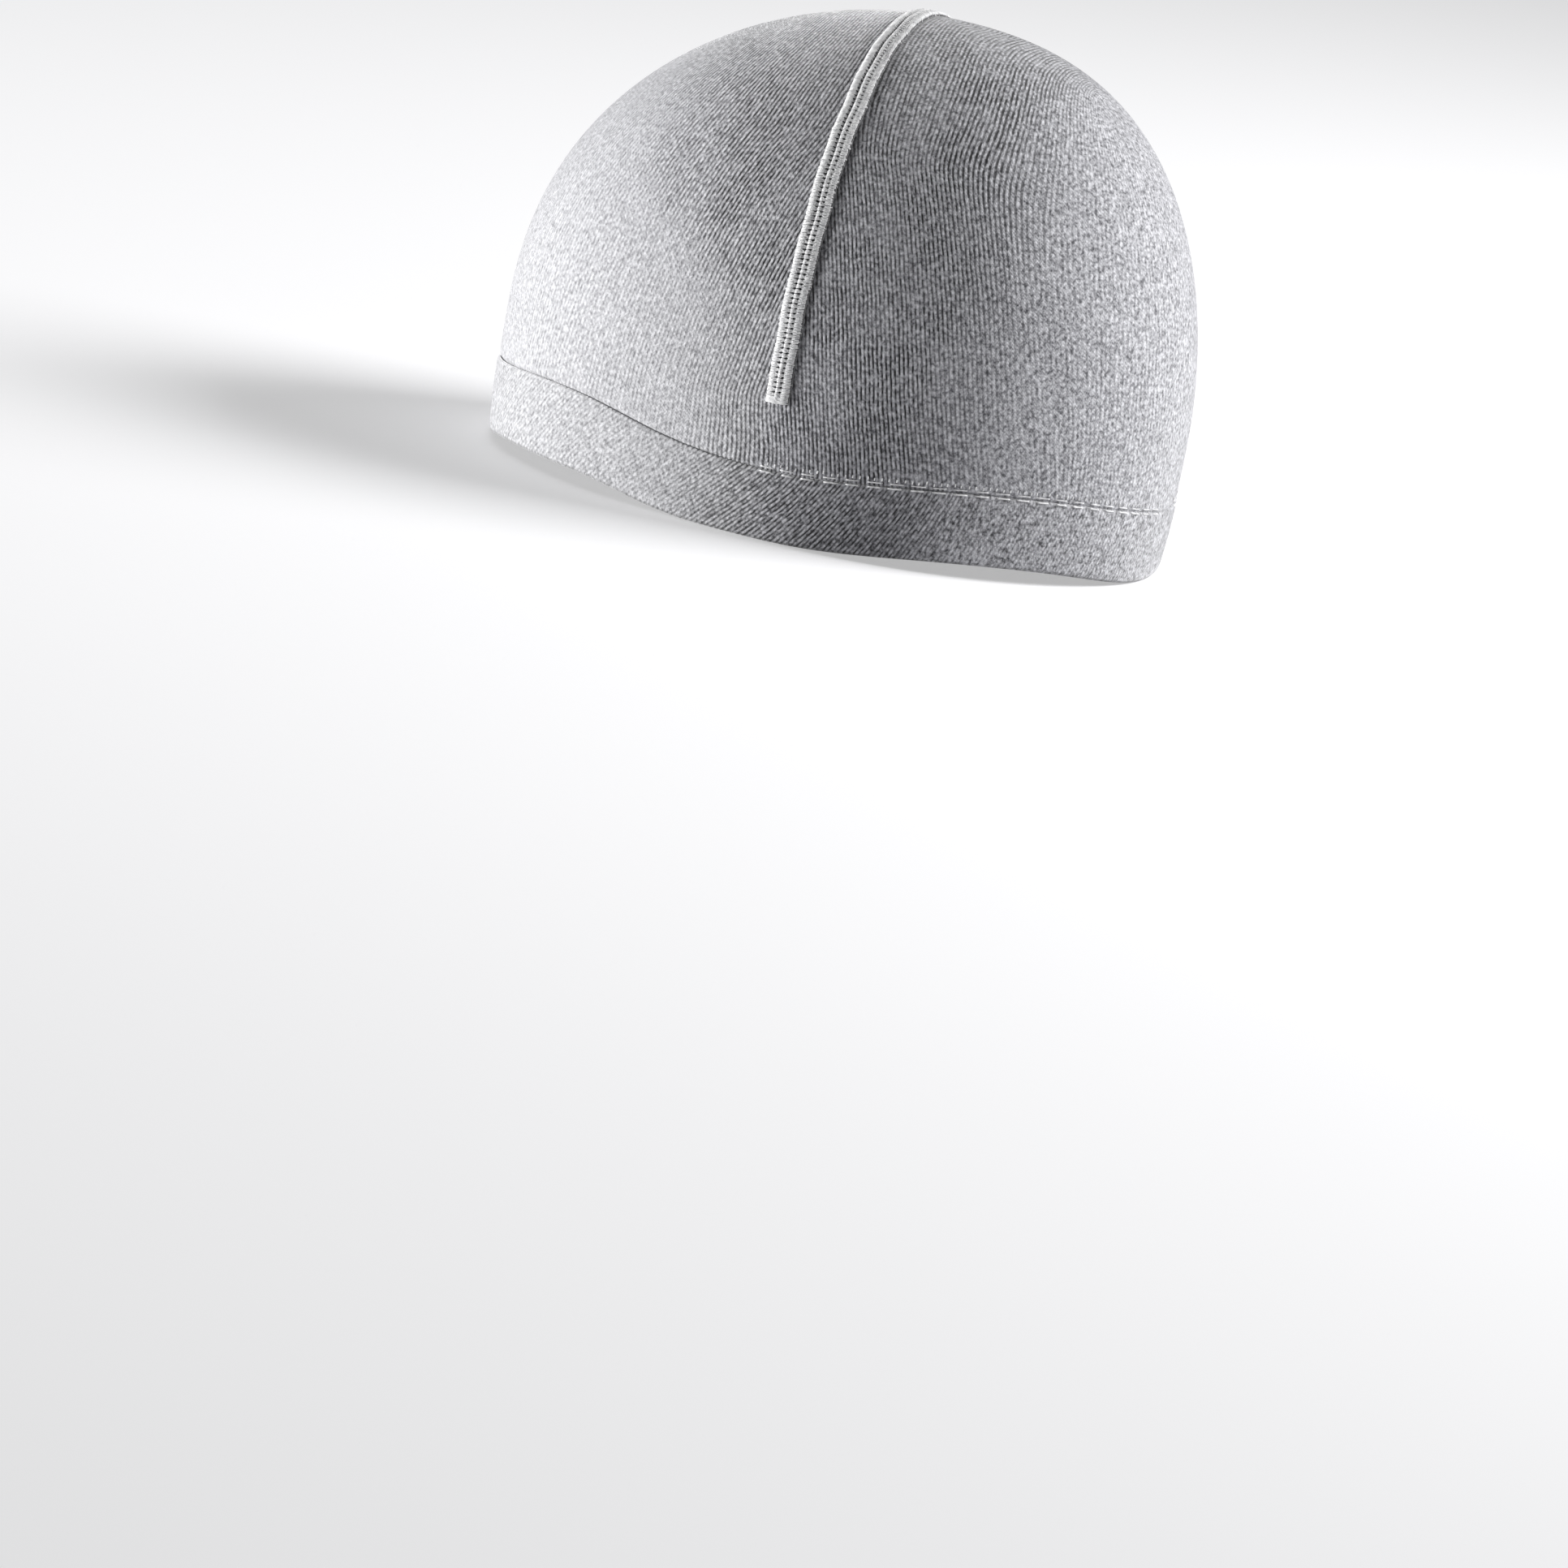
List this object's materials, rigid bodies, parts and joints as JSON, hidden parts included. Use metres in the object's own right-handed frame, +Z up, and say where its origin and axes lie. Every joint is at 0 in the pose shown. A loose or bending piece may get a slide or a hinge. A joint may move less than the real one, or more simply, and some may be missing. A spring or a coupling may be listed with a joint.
{
  "type": "wool beanie",
  "caption": "Close-fitting knitted wool cap: hollow dome of fine mélange knit with a turned double hem and a flatlock seam over the top from side to side.",
  "frame": {"origin": "centre of the cap's footprint, on the surface that its rim rests on", "axes": "+Z up through the top of the crown, -Y the front of the cap (forehead), +X the wearer's left"},
  "size_m": [0.1608, 0.197, 0.141],
  "materials": {
    "crown_knit": "fine-gauge mélange wool jersey, matt, light fibre fuzz",
    "hem_knit": "doubled mélange wool welt, matt, diagonal stitch texture",
    "seam_thread": "pale woolly covering thread, matt, ribbed by the stitches"
  },
  "bodies": {
    "root": {"crown": "crown_knit", "hem_band": "hem_knit", "crown_seam": "seam_thread"}
  },
  "joints": []
}
